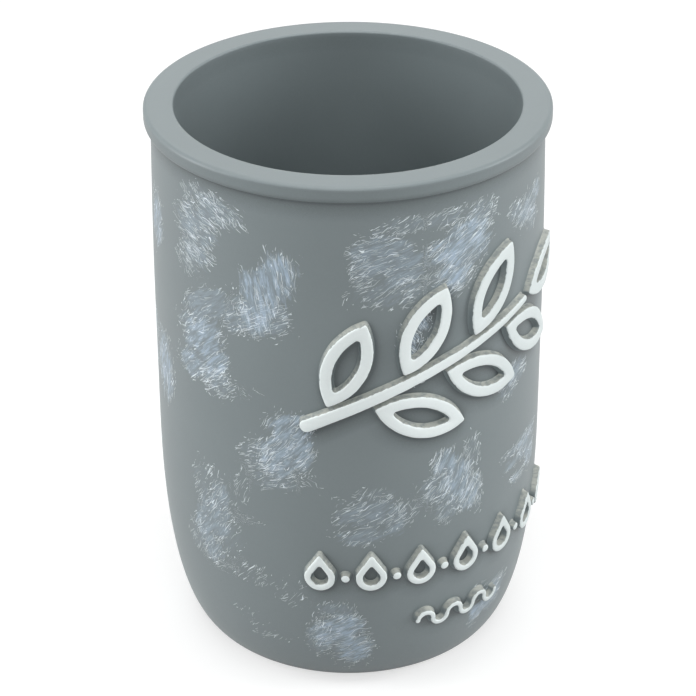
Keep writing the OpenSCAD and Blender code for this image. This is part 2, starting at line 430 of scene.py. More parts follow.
def makeReliefPaint():
    material, tree, shader, place = newMaterial("reliefPaint")
    grain = useGroup(tree, castGrain, Place=place, Color=reliefLook["resin"], **reliefLook["sideGrain"])
    lift = putNode(tree, "ShaderNodeAttribute", attribute_name="lift").outputs["Fac"]
    ragged = swing(tree, cloudy(tree, place, *reliefLook["ragged"]), reliefLook["raggedReach"])
    painted = fade(tree, plus(tree, lift, ragged), *reliefLook["paintRange"])
    # painted shade: the white is made darker towards the ornament's right end, where the light on it is
    # stronger
    split = putNode(tree, "ShaderNodeSeparateXYZ")
    feed(tree, split.inputs[0], place)
    rightShade = fade(tree, split.outputs[0], *reliefLook["rightShade"])
    coat = blend(tree, rightShade, reliefLook["white"], reliefLook["shadedWhite"])
    white = useGroup(tree, castGrain, Place=place, Color=coat, **reliefLook["coatGrain"])
    # partly a real thin streaky spill of paint, partly painted light: the sides that face up are made paler
    # as if lit from above
    split = putNode(tree, "ShaderNodeSeparateXYZ")
    feed(tree, split.inputs[0], putNode(tree, "ShaderNodeTexCoord").outputs["Normal"])
    stretched = vectorCalc(tree, "MULTIPLY", place, reliefLook["streakStretch"])
    streaks = fade(tree, cloudy(tree, stretched, *reliefLook["streaks"]), *reliefLook["streakRange"])
    spillAndTopLight = times(tree, fade(tree, split.outputs[2], *reliefLook["topLightRange"]), streaks)
    spillAndTopLight = times(tree, spillAndTopLight, reliefLook["spillAndTopLightStrength"])
    sides = blend(tree, spillAndTopLight, grain["Color"], reliefLook["spillAndTopLight"])
    tree.links.new(blend(tree, painted, sides, white["Color"]), shader.inputs["Base Color"])
    shader.inputs["Roughness"].default_value = reliefLook["roughness"]
    shader.inputs["Specular IOR Level"].default_value = reliefLook["shine"]
    addBump(tree, shader, plus(tree, grain["Height"], painted), reliefLook["bump"])
    return material


# fine closed-cell foam
foamLook = {
    "foam": (0.030, 0.031, 0.034, 1),
    "cell": (0.085, 0.087, 0.092, 1),
    "cellScale": 2400,
    "wallRange": (0.1, 0.6),
    "patches": (160, 3),
    "roughness": 0.9,
    "bump": 0.12,
}


def makeFoam():
    material, tree, shader, place = newMaterial("foamPad")
    cells = putNode(tree, "ShaderNodeTexVoronoi", feature="F1")
    feed(tree, cells.inputs["Vector"], place)
    cells.inputs["Scale"].default_value = foamLook["cellScale"]
    wall = fade(tree, cells.outputs["Distance"], *foamLook["wallRange"])
    patches = cloudy(tree, place, *foamLook["patches"])
    color = blend(tree, times(tree, wall, patches), foamLook["foam"], foamLook["cell"])
    tree.links.new(color, shader.inputs["Base Color"])
    shader.inputs["Roughness"].default_value = foamLook["roughness"]
    addBump(tree, shader, wall, foamLook["bump"])
    return material


resin = makeResin()
reliefPaint = makeReliefPaint()
foam = makeFoam()
print("materials made")


# the cup, in mm as in the part's source
cup = {
    "height": 110,
    "rimRadius": 37.75,
    "rimWidth": 5.6,
    "rimBand": 3.3,
    "rimOverhang": 1.3,
    "rimTopRound": 0.8,
    "mouthRound": 0.4,
    "underInner": 106.66,
    "underOuter": 106.98,
    "underRound": 1.0,
    "underCove": 0.31,
    "bellySwell": 0.54,
    "bellyHeight": 64,
    "cornerHeight": 44.5,
    "cornerPower": 2.2,
    "footRadius": 27.25,
    "footHeight": 0.5,
    "innerTaper": 0.7,
    "floorHeight": 6.5,
    "recessRadius": 24.3,
    "recessHeight": 2,
    "recessRound": 0.2,
    "undulation": 0.07,
    "undulationScale": 0.045,
    "turns": 288,
    "cornerRows": 44,
    "wallRows": 66,
    "insideCornerRows": 30,
    "insideRows": 24,
    "floorRows": 4,
    "bandRows": 2,
    "flatRows": 4,
    "tableSteps": 220,
}
neckRadius = cup["rimRadius"] - cup["rimOverhang"]
bellyRadius = neckRadius + cup["bellySwell"]
rimUnder = cup["height"] - cup["rimBand"]
footInset = bellyRadius - cup["footRadius"]
mouthRadius = cup["rimRadius"] - cup["rimWidth"]
innerRadius = mouthRadius - cup["innerTaper"]


def cornerRadius(z, top, low, radius):
    depth = min(max((top - z) / (top - low), 0), 1)
    return radius - footInset * (1 - (1 - depth ** cup["cornerPower"]) ** (1 / cup["cornerPower"]))


def wallRadius(z):
    if z < cup["cornerHeight"]:
        return cornerRadius(z, cup["cornerHeight"], cup["footHeight"], bellyRadius)
    share = max((z - cup["bellyHeight"]) / (rimUnder - cup["bellyHeight"]), 0)
    return bellyRadius - cup["bellySwell"] * share * share


def makeWallTable():
    # length along the wall from the foot up, every half millimetre of height
    table = [0.0]
    for step in range(cup["tableSteps"]):
        low = cup["footHeight"] + step / 2
        table.append(table[-1] + math.hypot(0.5, wallRadius(low + 0.5) - wallRadius(low)))
    return table


wallTable = makeWallTable()


def alongWall(z):
    place = min(max((z - cup["footHeight"]) * 2, 0), len(wallTable) - 1.001)
    low = int(place)
    return wallTable[low] + (wallTable[low + 1] - wallTable[low]) * (place - low)


# each dab: direction of its strokes in degrees above level, strength, share of film, share of hairs and
# patches, each patch with its direction from the middle of the ornament in degrees, height, half width
# and half height in mm
dabs = {
    "under": [
        (-20, 1.0, 0.4, 1.3, ((-84, 96.5, 5.5, 4.5), (-77, 101, 5.5, 2.8), (-84, 91.5, 4, 3))),
        (-78, 1.15, 1.0, 0.7, ((-61, 87, 5, 4.4), (-56, 91.5, 3.8, 4.8), (-63, 82.5, 3.6, 4))),
        (44, 1.0, 0.9, 0.7, ((-83, 74, 6, 5), (-78, 70, 4, 4.5), (-86, 67.5, 5, 3.2))),
        (70, 0.9, 0.8, 0.7, ((-106, 61, 5, 7),)),
        (66, 0.8, 0.8, 0.7, ((-110, 91, 4, 5.5),)),
        (50, 1.05, 0.85, 1.1, ((-53, 60, 4.2, 4), (-57, 54, 4.2, 4.8), (-50, 56, 2.5, 5))),
        (52, 1.0, 0.5, 0.6, ((-80, 36, 4.4, 4.6), (-85, 32.5, 3, 3.4), (-77, 41, 2.5, 3.5), (-82, 28, 3, 3))),
        (28, 1.05, 1.0, 1.1, ((-38, 16, 4.8, 3.6), (-35, 10, 4, 4.5), (-43, 14, 3, 4))),
        (30, 0.9, 0.4, 0.65, ((-31, 43, 5.5, 3.6), (-32, 38, 5, 2.4), (-23, 41, 2.6, 3.6))),
        (62, 1.05, 0.75, 1.4, ((-7.5, 51, 2.6, 3), (-3, 46.5, 3.5, 5), (1.5, 43, 2.6, 4.2))),
        (18, 1.0, 0.5, 0.8, ((-27, 96, 5.6, 4.8), (-21, 93.5, 4.4, 4.6))),
        (32, 1.15, 1.0, 1.3, ((0, 96.5, 4.4, 5.4), (-4, 91, 3.6, 3.4), (-8, 95, 4.4, 2.6))),
        (-55, 0.95, 0.75, 1.2, ((-19, 78.5, 2.4, 3.6), (-16, 82, 2, 2), (-17, 72, 2, 2.5))),
        (30, 0.85, 0.5, 1.0, ((26, 96, 4.5, 3.2), (33, 98, 2.5, 2))),
        (25, 0.8, 0.55, 0.8, ((21, 63.5, 4, 2.6),)),
        (16, 0.9, 0.6, 1.0, ((29, 45.5, 5, 2.6), (33, 42, 3, 3), (20, 43.5, 2.5, 1.2), (24, 39.5, 3, 1.2))),
        (30, 0.9, 0.85, 0.8, ((16, 14, 4.5, 3.6), (10, 12, 2.5, 2.5))),
    ],
    "over": [
        (30, 1.0, 0.35, 1.0, ((-68, 81.5, 5, 3.6), (-58, 82.5, 4, 3.4))),
        (38, 0.9, 0.4, 0.5, ((-77, 82.5, 4.6, 3.4), (-84, 80, 4, 3))),
        (35, 1.0, 0.2, 1.0, ((-77, 66, 4.4, 2.8),)),
        (-40, 1.0, 0.1, 1.0, ((-83, 103, 4.5, 1.8), (-88, 89, 3.5, 3), (-71, 100, 3, 2))),
        (25, 1.0, 0.2, 0.9, ((-62, 53, 4.5, 3.2), (-58, 49, 5, 2.6))),
        (56, 1.0, 0.1, 0.6, ((-82, 42, 4.5, 5), (-75, 33, 3.6, 5), (-87, 29, 4, 4))),
        (64, 1.0, 0.0, 0.8, ((-70, 44, 1.4, 4.5), (-68, 46, 1.2, 4))),
        (30, 1.0, 0.0, 0.9, ((-67, 38.6, 3, 0.8), (-79, 25, 5, 1.2))),
        (50, 0.8, 0.0, 0.5, ((-66, 26, 5, 2.4), (-54, 24, 3.5, 3.5))),
        (35, 0.8, 0.0, 0.5, ((-63, 12, 5, 2), (-71, 16, 3, 1))),
        (-30, 0.8, 0.0, 0.5, ((-47, 48.5, 2.6, 2), (-64, 66, 2.4, 1.2))),
        (62, 1.0, 0.3, 0.9, ((-46, 13, 2.4, 5), (-40, 20.5, 4, 2))),
        (46, 1.0, 0.1, 0.55, ((-19, 42, 3.4, 2.6), (-28, 47, 4, 1.6))),
        (40, 1.0, 0.3, 1.0, ((-10, 46, 3.4, 3.2), (-6, 41, 3, 2.6))),
        (66, 1.0, 0.1, 0.8, ((2, 52, 2, 3.4), (4.5, 42, 1.6, 4))),
        (34, 1.0, 0.2, 0.9, ((-24, 88.5, 7, 2.8), (-20, 101.5, 4.4, 1.6), (-33, 93, 2, 4))),
        (32, 1.0, 0.2, 1.0, ((-7, 89, 5.5, 3), (5, 100.5, 3.4, 3), (-9, 101.5, 4, 1.8))),
        (60, 0.9, 0.1, 0.8, ((-16, 75, 2, 3), (-13, 80, 1.8, 2.5))),
        (24, 0.9, 0.2, 0.6, ((19, 97.5, 2.6, 2), (30, 93, 3, 2), (17, 61, 3, 2))),
        (14, 0.9, 0.2, 0.8, ((21, 46, 4, 1.2), (34, 47, 3, 1.4))),
        (40, 0.8, 0.1, 0.6, ((9, 17.5, 3, 2), (20, 17, 3, 1.4), (9, 9, 2, 2))),
    ],
}
# the sides that the photograph doesn't show are filled with scattered dabs, in degrees and mm
backDabs = {
    "seed": 7,
    "from": 62,
    "to": 232,
    "columns": 7,
    "heights": (16, 42, 67, 92),
    "stagger": 12,
    "strokes": (28, 46, 62, -74),
    "wander": 6,
    "climb": 3,
    "turn": 9,
    "wide": (3.5, 5.5),
    "high": (3, 5),
    "lowest": 9,
    "partLowest": 7,
    "partSize": 0.7,
    "partApart": (1.6, 0.8),
    "strength": (0.85, 1.1),
    "film": (0.5, 1),
    "hairs": (0.7, 1.2),
    "overTurn": 30,
    "overFilm": (0, 0.4),
    "overHairs": (0.6, 1),
}


def fillBack():
    chance = random.Random(backDabs["seed"])
    step = (backDabs["to"] - backDabs["from"]) / (backDabs["columns"] - 1)
    size = backDabs["partSize"]
    apart, apartUp = backDabs["partApart"]
    for column in range(backDabs["columns"]):
        raised = (column % 2) * backDabs["stagger"] - backDabs["stagger"] / 2
        for height in backDabs["heights"]:
            where = backDabs["from"] + column * step + chance.uniform(-backDabs["wander"], backDabs["wander"])
            up = height + raised + chance.uniform(-backDabs["climb"], backDabs["climb"])
            stroke = chance.choice(backDabs["strokes"]) + chance.uniform(-backDabs["turn"], backDabs["turn"])
            wide, high = chance.uniform(*backDabs["wide"]), chance.uniform(*backDabs["high"])
            patches = [(where, max(up, backDabs["lowest"]), wide, high)]
            for steps in (1, 1, 2):
                away = chance.uniform(0, 360)
                around = where + math.cos(away) * steps * wide * apart
                above = max(up + math.sin(away) * steps * high * apartUp, backDabs["partLowest"])
                patches.append((around, above, wide * size, high * size))
            strength, film = chance.uniform(*backDabs["strength"]), chance.uniform(*backDabs["film"])
            dabs["under"].append((stroke, strength, film, chance.uniform(*backDabs["hairs"]), patches[:3]))
            stroke += chance.uniform(-backDabs["overTurn"], backDabs["overTurn"])
            film, hairs = chance.uniform(*backDabs["overFilm"]), chance.uniform(*backDabs["overHairs"])
            dabs["over"].append((stroke, 1.0, film, hairs, patches[2:]))


# how a dab spreads. Reach is 0 in the middle of a patch and 1 on its outline, and cover is 1 well inside,
# 0 on the outline and bare far outside
dabSpread = {
    "power": 2.2,
    "farthest": 2.4,
    "rows": 2.2,
    "around": 34,
    "slope": 1.6,
    "bare": -1.4,
    "rimClear": 0.6,
    "offWall": 0.3,
    "alongStep": 31,
    "seedStep": 5.7,
}


def patchReach(patch, angle, length):
    turned = (angle - patch[0] + 180) % 360 - 180
    right = math.radians(turned) * bellyRadius / patch[2]
    up = (length - alongWall(patch[1])) / patch[3]
    return (abs(right) ** dabSpread["power"] + abs(up) ** dabSpread["power"]) ** (1 / dabSpread["power"])


def paintDabs(bm):
    layers = bm.verts.layers
    for name in dabs:
        for label in dabValues:
            (layers.float_vector if label == "Flow" else layers.float).new(name + label)
    places = []
    for vert in bm.verts:
        radius = math.hypot(vert.co.x, vert.co.y)
        onWall = abs(radius - wallRadius(vert.co.z)) < dabSpread["offWall"]
        if onWall and vert.co.z < rimUnder - dabSpread["rimClear"]:
            places.append((vert, math.degrees(math.atan2(vert.co.x, -vert.co.y)), alongWall(vert.co.z)))
    for name, members in dabs.items():
        flow = layers.float_vector[name + "Flow"]
        cover, film, hairs = (layers.float[name + label] for label in dabValues[1:])
        best = [dabSpread["farthest"]] * len(places)
        for vert in bm.verts:
            vert[cover] = dabSpread["bare"]
        for index, (stroke, strength, filmShare, hairShare, patches) in enumerate(members):
            cosine, sine = math.cos(math.radians(stroke)), math.sin(math.radians(stroke))
            low = min(alongWall(patch[1]) - dabSpread["rows"] * patch[3] for patch in patches)
            high = max(alongWall(patch[1]) + dabSpread["rows"] * patch[3] for patch in patches)
            for number, (vert, angle, length) in enumerate(places):
                turned = (angle - patches[0][0] + 180) % 360 - 180
                if length < low or length > high or abs(turned) > dabSpread["around"]:
                    continue
                reach = min(patchReach(patch, angle, length) for patch in patches)
                if reach < best[number]:
                    best[number] = reach
                    right = math.radians(turned) * bellyRadius
                    along, across = right * cosine + length * sine, length * cosine - right * sine
                    along += index * dabSpread["alongStep"]
                    vert[flow] = (along, across, index * dabSpread["seedStep"])
                    inside = max(min((1 - reach) * dabSpread["slope"], 1), dabSpread["bare"])
                    vert[cover] = inside * (strength if reach < 1 else 1)
                    vert[film], vert[hairs] = filmShare, hairShare


def makeObject(name, bm, material):
    bmesh.ops.scale(bm, vec=(mm, mm, mm), verts=bm.verts)
    mesh = bpy.data.meshes.new(name)
    bm.to_mesh(mesh)
    bm.free()
    mesh.shade_smooth()
    mesh.materials.append(material)
    made = bpy.data.objects.new(name, mesh)
    bpy.context.scene.collection.objects.link(made)
    return made


def dress(piece, node):
    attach(piece, "root")
    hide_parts(node)


def makeCup():
    bm = bmesh.new()
    corners = [
        (0, cup["recessHeight"]),
        (cup["recessRadius"], cup["recessHeight"]),
        (cup["recessRadius"], cup["footHeight"]),
        (cup["footRadius"], cup["footHeight"]),
        (bellyRadius, cup["cornerHeight"]),
        (neckRadius, cup["underInner"]),
        (cup["rimRadius"], cup["underOuter"]),
        (cup["rimRadius"], cup["height"]),
        (mouthRadius, cup["height"]),
        (innerRadius, cup["cornerHeight"]),
        (innerRadius - footInset, cup["floorHeight"]),
        (0, cup["floorHeight"]),
    ]
    section = [bm.verts.new((r, 0, z)) for r, z in corners]
    edges = [bm.edges.new(pair) for pair in zip(section, section[1:])]

    # wall, round corners and inside get their rows, then take their curves; eased rows lie closer low down
    def shape(edge, cuts, radiusAt, eased):
        low, high = sorted(vert.co.z for vert in edge.verts)
        inner = bmesh.ops.subdivide_edges(bm, edges=[edge], cuts=cuts)["geom_inner"]
        for vert in inner:
            if isinstance(vert, bmesh.types.BMVert):
                share = (vert.co.z - low) / (high - low)
                if eased:
                    vert.co.z = low + (high - low) * (1 - math.cos(share * math.pi / 2))
                vert.co.x = radiusAt(vert.co.z)

    def insideCorner(z):
        return cornerRadius(z, cup["cornerHeight"], cup["floorHeight"], innerRadius)

    shape(edges[3], cup["cornerRows"], wallRadius, True)
    shape(edges[4], cup["wallRows"], wallRadius, False)
    shape(edges[9], cup["insideCornerRows"], insideCorner, True)
    bmesh.ops.subdivide_edges(bm, edges=[edges[8]], cuts=cup["insideRows"])
    bmesh.ops.subdivide_edges(bm, edges=[edges[10]], cuts=cup["floorRows"])
    bmesh.ops.subdivide_edges(bm, edges=[edges[7]], cuts=cup["bandRows"])

    rounds = (
        (6, cup["underRound"], 8),
        (7, cup["rimTopRound"], 8),
        (8, cup["mouthRound"], 8),
        (5, cup["underCove"], 4),
        (1, cup["recessRound"], 3),
        (2, cup["recessRound"], 3),
    )
    for index, radius, segments in rounds:
        spot = Vector((corners[index][0], 0, corners[index][1]))
        corner = min(bm.verts, key=lambda vert: (vert.co - spot).length)
        bmesh.ops.bevel(
            bm, geom=[corner], offset=radius, offset_type="OFFSET", affect="VERTICES",
            segments=segments, profile=0.5, material=-1, clamp_overlap=True,
        )
    # rows close to the rim's rounds keep its flats flat
    flats = []
    for edge in bm.edges:
        if edge.calc_length() > 0.7 and max(vert.co.z for vert in edge.verts) > rimUnder + 0.9:
            flats.append(edge)
    bmesh.ops.subdivide_edges(bm, edges=flats, cuts=cup["flatRows"])
    geom = list(bm.verts) + list(bm.edges)
    bmesh.ops.spin(
        bm, geom=geom, cent=(0, 0, 0), axis=(0, 0, 1), dvec=(0, 0, 0), angle=fullTurn,
        steps=cup["turns"], use_merge=True, use_duplicate=False,
    )
    bmesh.ops.remove_doubles(bm, verts=bm.verts, dist=0.001)
    bmesh.ops.recalc_face_normals(bm, faces=bm.faces)
    paintDabs(bm)
    for vert in bm.verts:
        # a poured casting is never quite round
        radius = math.hypot(vert.co.x, vert.co.y)
        if radius > cup["recessRadius"] + 1 and vert.co.z < cup["height"] - 0.5:
            dip = 0.5 + 0.5 * noise.noise(vert.co * cup["undulationScale"])
            vert.co -= Vector((vert.co.x, vert.co.y, 0)) / radius * dip * cup["undulation"]
    print("cup:", len(bm.faces), "faces")
    return makeObject("cup", bm, resin)


fillBack()
dress(makeCup(), "cup_body")


# the pad's foam disc, cut with a die that leaves its edge a little pinched
pad = {
    "radius": 24,
    "thickness": 2,
    "pinch": 0.12,
    "edgeRound": 0.25,
    "segments": 192,
    "rows": 3,
    "rings": (2.7, 5.4, 10.8),
}


def makePad():
    bm = bmesh.new()
    bmesh.ops.create_circle(bm, cap_ends=True, segments=pad["segments"], radius=pad["radius"] - pad["pinch"])
    bottom = list(bm.faces)
    sides = bmesh.ops.extrude_face_region(bm, geom=bottom, use_keep_orig=True)["geom"]
    top = [vert for vert in sides if isinstance(vert, bmesh.types.BMVert)]
    bmesh.ops.translate(bm, vec=(0, 0, pad["thickness"]), verts=top)
    upright = [edge for edge in bm.edges if abs(edge.verts[0].co.z - edge.verts[1].co.z) > 1]
    middle = bmesh.ops.subdivide_edges(bm, edges=upright, cuts=pad["rows"])["geom_inner"]
    for vert in middle:
        if isinstance(vert, bmesh.types.BMVert):
            swell = pad["pinch"] * math.sin(math.pi * vert.co.z / pad["thickness"])
            vert.co += Vector((vert.co.x, vert.co.y, 0)).normalized() * swell
    brim = [edge for edge in bm.edges if len(edge.link_faces) == 2 and edge.calc_face_angle() > 1]
    bmesh.ops.bevel(
        bm, geom=brim, offset=pad["edgeRound"], offset_type="OFFSET", affect="EDGES",
        segments=3, profile=0.5, material=-1,
    )
    caps = [face for face in bm.faces if len(face.verts) > 8]
    for width in pad["rings"]:
        bmesh.ops.inset_region(bm, faces=caps, thickness=width, use_even_offset=True)
    bmesh.ops.recalc_face_normals(bm, faces=bm.faces)
    print("pad:", len(bm.faces), "faces")
    return makeObject("basePad", bm, foam)


dress(makePad(), "base_pad")


# raised ornament: outlines are drawn flat in mm, stacked into drafted shapes and laid on the wall.
# A step is an inset from the foot's outline and the lift there
relief = {
    "height": 1.2,
    "foot": 0.26,
    "steps": (
        (0, -0.3), (0, 0), (0.14, 0.05), (0.23, 0.25),
        (0.36, 0.95), (0.43, 1.09), (0.54, 1.17), (0.70, 1.20),
    ),
    "spine": 0.02,
    "merge": 0.05,
    "closingInset": 99,
    "waver": 0.06,
    "waverScale": 0.45,
    "waverSeed": 5,
}
noise.seed_set(relief["waverSeed"])      # unseeded, noise_vector would differ from run to run


def stackLoops(bm, count, outlines, closed):
    # one loop of points for each outline and height, each bridged to the one before
    loops = []
    for outline, lift in outlines:
        made = bmesh.ops.create_circle(bm, segments=count, radius=1)["verts"]
        for index, vert in enumerate(made):
            vert.co = outline(index / count)
            vert.co.z = lift
        loops.append(list({edge for vert in made for edge in vert.link_edges}))
    for lower, upper in zip(loops, loops[1:] + loops[:1] if closed else loops[1:]):
        bmesh.ops.bridge_loops(bm, edges=lower + upper)


def raiseRing(bm, count, outer, inner):
    rising = [(outer(inset), lift) for inset, lift in relief["steps"]]
    falling = [(inner(inset), lift) for inset, lift in reversed(relief["steps"])]
    stackLoops(bm, count, rising + falling, True)


def raiseSolid(bm, count, outline):
    # closed above and below by a loop that shrinks to the middle
    middle = outline(relief["closingInset"])
    rising = [(outline(inset), lift) for inset, lift in relief["steps"]]
    below, above = (middle, rising[0][1]), (middle, rising[-1][1])
    stackLoops(bm, count, [below] + rising + [above], False)
    bmesh.ops.remove_doubles(bm, verts=bm.verts, dist=relief["merge"])


def layOnWall(bm, seed):
    lift = bm.verts.layers.float.new("lift")
    for vert in bm.verts:
        # hand-cut masters leave the outlines a little uneven
        scale = relief["waverScale"]
        shift = noise.noise_vector(Vector((vert.co.x * scale, vert.co.y * scale, seed)))
        x, y = vert.co.x + shift.x * relief["waver"], vert.co.y + shift.y * relief["waver"]
        vert[lift] = vert.co.z / relief["height"]
        slope = wallRadius(y + 0.5) - wallRadius(y - 0.5)
        size = math.hypot(1, slope)
        radius = wallRadius(y) + vert.co.z / size
        angle = x / bellyRadius
        vert.co = (radius * math.sin(angle), -radius * math.cos(angle), y - vert.co.z * slope / size)


def makeRelief(name, node, bm, seed):
    bmesh.ops.recalc_face_normals(bm, faces=bm.faces)
    layOnWall(bm, seed)
    dress(makeObject(name, bm, reliefPaint), node)


def moveFlat(bm, x, y, turn=0.0):
    # turned by degrees and set down on the unrolled wall
    cosine, sine = math.cos(math.radians(turn)), math.sin(math.radians(turn))
    for vert in bm.verts:
        right, up, lift = vert.co
        vert.co = (x + right * cosine - up * sine, y + right * sine + up * cosine, lift)


def heading(angle):
    return Vector((math.cos(math.radians(angle)), math.sin(math.radians(angle)), 0))


sprig = {
    "rise": 28,
    "bendRadius": 190,
    "leaves": 6,
    "leafLength": 18.5,
    "leafWidth": 8.6,
    "leafLine": 2.4,
    "leafGap": 1.2,
    "leafSpread": 42,
    "tipRound": 0.4,
    "seatGap": 0.7,
    "bareStem": 6.5,
    "stemWidth": 2.8,
    "stemTipWidth": 1.6,
    "middleShare": 0.56,
    "tipShare": 0.06,
    "stemPoints": 200,
    "leafPoints": 100,
    "stemSeed": 3.1,
    "leafSeeds": (10.7, 3.3),
    "tipSeed": 41.9,
}
drops = {
    "count": 7,
    "height": 8.5,
    "width": 6,
    "line": 1.5,
    "tipRound": 0.3,
    "rowHeight": 26,
    "bead": 1.8,
    "beadGap": 0.9,
    "tipShare": 0.06,
    "flankShare": 0.16,
    "points": 80,
    "beadPoints": 32,
    "seeds": (60.3, 2.9),
    "beadSeeds": (90.1, 2.3),
}
wave = {"bends": 6, "radius": 1.6, "line": 1.2, "gap": 7, "capShare": 0.03, "points": 400, "seed": 120.7}

leafPitch = (sprig["leafWidth"] + sprig["leafGap"]) / math.sin(math.radians(sprig["leafSpread"]))
stemLength = sprig["bareStem"] + sprig["leaves"] * leafPitch / 2
sprigLength = stemLength + sprig["seatGap"] + sprig["leafLength"]
dropTop = drops["rowHeight"] + drops["height"]
sprigMiddle = dropTop + (rimUnder - dropTop) * sprig["middleShare"]


def stemDirection(along):
    return sprig["rise"] - math.degrees(along / sprig["bendRadius"])


def arcPlace(along):
    start, here = math.radians(sprig["rise"]), math.radians(stemDirection(along))
    spot = Vector((math.sin(start) - math.sin(here), math.cos(here) - math.cos(start), 0))
    return sprig["bendRadius"] * spot


def stemPlace(along):
    return arcPlace(along) - arcPlace(sprigLength / 2) + Vector((0, sprigMiddle, 0))


def stemHalfWidth(along):
    share = along / stemLength
    return (sprig["stemWidth"] + (sprig["stemTipWidth"] - sprig["stemWidth"]) * share) / 2


def lineOutline(start, stop, placeAt, directionAt, halfWidthAt, capShare=0.08):
    # the outline of a line drawn along a path: out on one side, back on the other, round ends
    def atInset(inset):
        def place(share):
            half, fold = share % 0.5, share >= 0.5
            if half < capShare:
                along = stop if fold else start
                lean = (90 if fold else 270) - 180 * half / capShare
            else:
                run = (half - capShare) / (0.5 - capShare)
                along = stop + (start - stop) * run if fold else start + (stop - start) * run
                lean = -90 if fold else 90
            reach = max(halfWidthAt(along) + relief["foot"] - inset, relief["spine"])
            return placeAt(along) + heading(directionAt(along) + lean) * reach
        return place
    return atInset


def makeStem():
    start, stop = stemHalfWidth(0), stemLength - stemHalfWidth(stemLength)
    bm = bmesh.new()
    outline = lineOutline(start, stop, stemPlace, stemDirection, stemHalfWidth)
    raiseSolid(bm, sprig["stemPoints"], outline)
    makeRelief("sprigStem", "sprig_stem", bm, sprig["stemSeed"])


def makeLeaf(name, node, base, angle, seed):
    length, width = sprig["leafLength"], sprig["leafWidth"]
    bowRadius = (length * length + width * width) / (4 * width)
    bowCentre = bowRadius - width / 2
    tipShare = sprig["tipShare"]

    def bows(radius, spread):
        # two bows that meet in points, grown by spread so that the points come out round
        half = math.acos(bowCentre / radius)

        def place(share):
            side = 1 if share < 0.5 else -1
            run = share % 0.5 / 0.5
            sweep = half * (1 - 2 * min(run / (1 - 2 * tipShare), 1))
            spot = Vector((side * radius * math.sin(sweep), side * (radius * math.cos(sweep) - bowCentre), 0))
            over = max(run - (1 - 2 * tipShare), 0) / (2 * tipShare)
            normal = sweep - (math.pi - 2 * half) * over if over else sweep
            return spot + Vector((side * math.sin(normal), side * math.cos(normal), 0)) * spread
        return place

    def outer(inset):
        size = relief["foot"] - inset
        bow = bowRadius + min(size, 0) - sprig["tipRound"]
        return bows(bow, sprig["tipRound"] + max(size, 0))

    def inner(inset):
        bow = bowRadius - sprig["leafLine"] - sprig["tipRound"]
        return bows(bow, sprig["tipRound"] - relief["foot"] + inset)

    bm = bmesh.new()
    raiseRing(bm, sprig["leafPoints"], outer, inner)
    middle = base + heading(angle) * length / 2
    moveFlat(bm, middle.x, middle.y, angle)
    makeRelief(name, node, bm, seed)


def makeSprig():
    makeStem()
    for index in range(sprig["leaves"]):
        along = sprig["bareStem"] + index * leafPitch / 2
        side = 1 if index % 2 == 0 else -1
        seat = stemHalfWidth(along) + sprig["seatGap"]
        base = stemPlace(along) + heading(stemDirection(along) + 90) * side * seat
        angle = stemDirection(along) + side * sprig["leafSpread"]
        seed = sprig["leafSeeds"][0] + index * sprig["leafSeeds"][1]
        makeLeaf(f"leaf{index + 1}", f"leaf_{index + 1}", base, angle, seed)
    base = stemPlace(stemLength + sprig["seatGap"])
    makeLeaf("tipLeaf", "tip_leaf", base, stemDirection(stemLength), sprig["tipSeed"])


def makeDrops():
    radius = drops["width"] / 2
    ratio = (drops["height"] - radius) / radius      # how much further off the tip is than the round
    touch = math.acos(1 / ratio)
    pitch = drops["width"] + drops["bead"] + 2 * drops["beadGap"]
    tipShare, flankShare = drops["tipShare"], drops["flankShare"]

    def teardrop(size, spread):
        def place(share):
            near = min(share, 1 - share)             # 0 is the middle of the tip
            side = 1 if share > 0.5 else -1
            if near < tipShare / 2:
                normal = touch * near / (tipShare / 2)
                spot = Vector((0, size * ratio, 0))
            elif near < tipShare / 2 + flankShare:
                normal = touch
                end = Vector((side * size * math.sin(touch), size * math.cos(touch), 0))
                spot = Vector((0, size * ratio, 0)).lerp(end, (near - tipShare / 2) / flankShare)
            else:
                run = (near - tipShare / 2 - flankShare) / (0.5 - tipShare / 2 - flankShare)
                normal = touch + (math.pi - touch) * run
                spot = Vector((side * size * math.sin(normal), size * math.cos(normal), 0))
            outward = Vector((side * math.sin(normal), math.cos(normal), 0))
            return spot + outward * spread + Vector((0, radius, 0))
        return place

    def outer(inset):
        size = relief["foot"] - inset
        return teardrop(radius + min(size, 0) - drops["tipRound"], drops["tipRound"] + max(size, 0))

    def inner(inset):
        size = radius - drops["line"] - drops["tipRound"]
        return teardrop(size, drops["tipRound"] - relief["foot"] + inset)

    def beadOutline(inset):
        size = max(drops["bead"] / 2 + relief["foot"] - inset, relief["spine"])
        return lambda share: Vector((size * math.cos(share * fullTurn), size * math.sin(share * fullTurn), 0))

    for index in range(drops["count"]):
        bm = bmesh.new()
        raiseRing(bm, drops["points"], outer, inner)
        moveFlat(bm, (index - (drops["count"] - 1) / 2) * pitch, drops["rowHeight"])
        seed = drops["seeds"][0] + index * drops["seeds"][1]
        makeRelief(f"drop{index + 1}", f"drop_{index + 1}", bm, seed)
    for index in range(drops["count"] - 1):
        bm = bmesh.new()
        raiseSolid(bm, drops["beadPoints"], beadOutline)
        moveFlat(bm, (index - (drops["count"] - 2) / 2) * pitch, drops["rowHeight"] + radius)
        seed = drops["beadSeeds"][0] + index * drops["beadSeeds"][1]
        makeRelief(f"bead{index + 1}", f"bead_{index + 1}", bm, seed)


